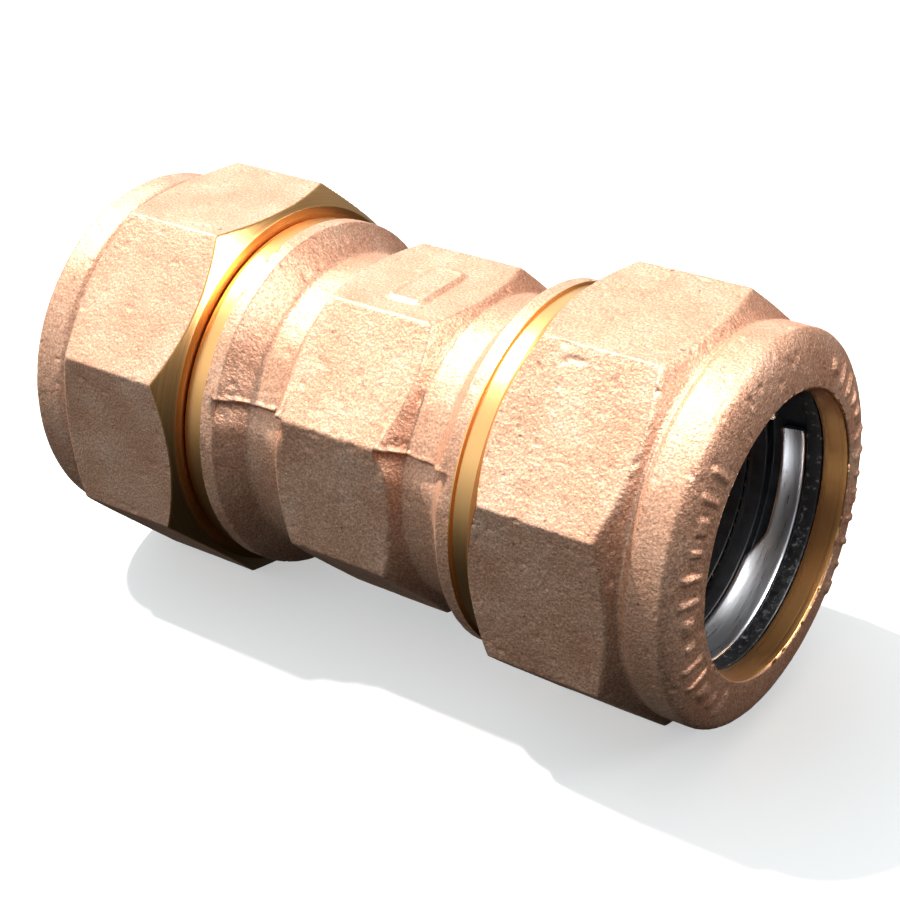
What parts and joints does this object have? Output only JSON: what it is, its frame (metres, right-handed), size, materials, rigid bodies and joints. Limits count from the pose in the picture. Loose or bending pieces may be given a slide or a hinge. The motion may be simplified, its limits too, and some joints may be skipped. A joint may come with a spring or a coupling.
{
  "type": "compression coupling",
  "caption": "Straight bronze compression coupling that joins two lengths of copper-size service tube end to end, sealed by gaskets squeezed by octagonal nuts.",
  "frame": {"origin": "centre of the assembled coupling, on the waterway's axis, halfway between the two mouths", "axes": "+X along the waterway out of the right mouth, +Z out of the body flat that carries the raised pad, Y across"},
  "size_m": [0.085, 0.0436, 0.0436],
  "materials": {
    "cast_bronze": "sand-cast with machined edges",
    "brass": "machined",
    "spring_bronze": "drawn wire",
    "stainless": "bright rolled",
    "black_rubber": "smooth moulded",
    "black_plastic": "satin moulded"
  },
  "bodies": {
    "body": {"coupling_body": "cast_bronze"},
    "left_pack": {"left_thrust_washer": "black_plastic", "left_gripper_band": "stainless", "left_gasket": "black_rubber", "left_gasket_armour": "brass", "left_continuity_spring": "spring_bronze"},
    "left_nut_body": {"left_nut": "cast_bronze"},
    "right_pack": {"right_thrust_washer": "black_plastic", "right_gripper_band": "stainless", "right_gasket": "black_rubber", "right_gasket_armour": "brass", "right_continuity_spring": "spring_bronze"},
    "right_nut_body": {"right_nut": "cast_bronze"}
  },
  "joints": [
    {"name": "left_advance", "type": "slide", "parent": "body", "child": "left_pack", "axis": [-1, 0, 0], "range_m": [-0.00015, 0.00908]},
    {"name": "left_nut_turn", "type": "hinge", "parent": "left_pack", "child": "left_nut_body", "pos_m": [-0.03, 0, 0], "axis": [-1, 0, 0], "range_deg": [-30, 1799]},
    {"name": "right_advance", "type": "slide", "parent": "body", "child": "right_pack", "axis": [1, 0, 0], "range_m": [-0.00015, 0.00908]},
    {"name": "right_nut_turn", "type": "hinge", "parent": "right_pack", "child": "right_nut_body", "pos_m": [0.03, 0, 0], "axis": [1, 0, 0], "range_deg": [-30, 1799]}
  ],
  "couplings": [
    {"joint": "left_advance", "follows": "left_nut_turn", "m_per_rad": 0.00028875},
    {"joint": "right_advance", "follows": "right_nut_turn", "m_per_rad": 0.00028875}
  ]
}
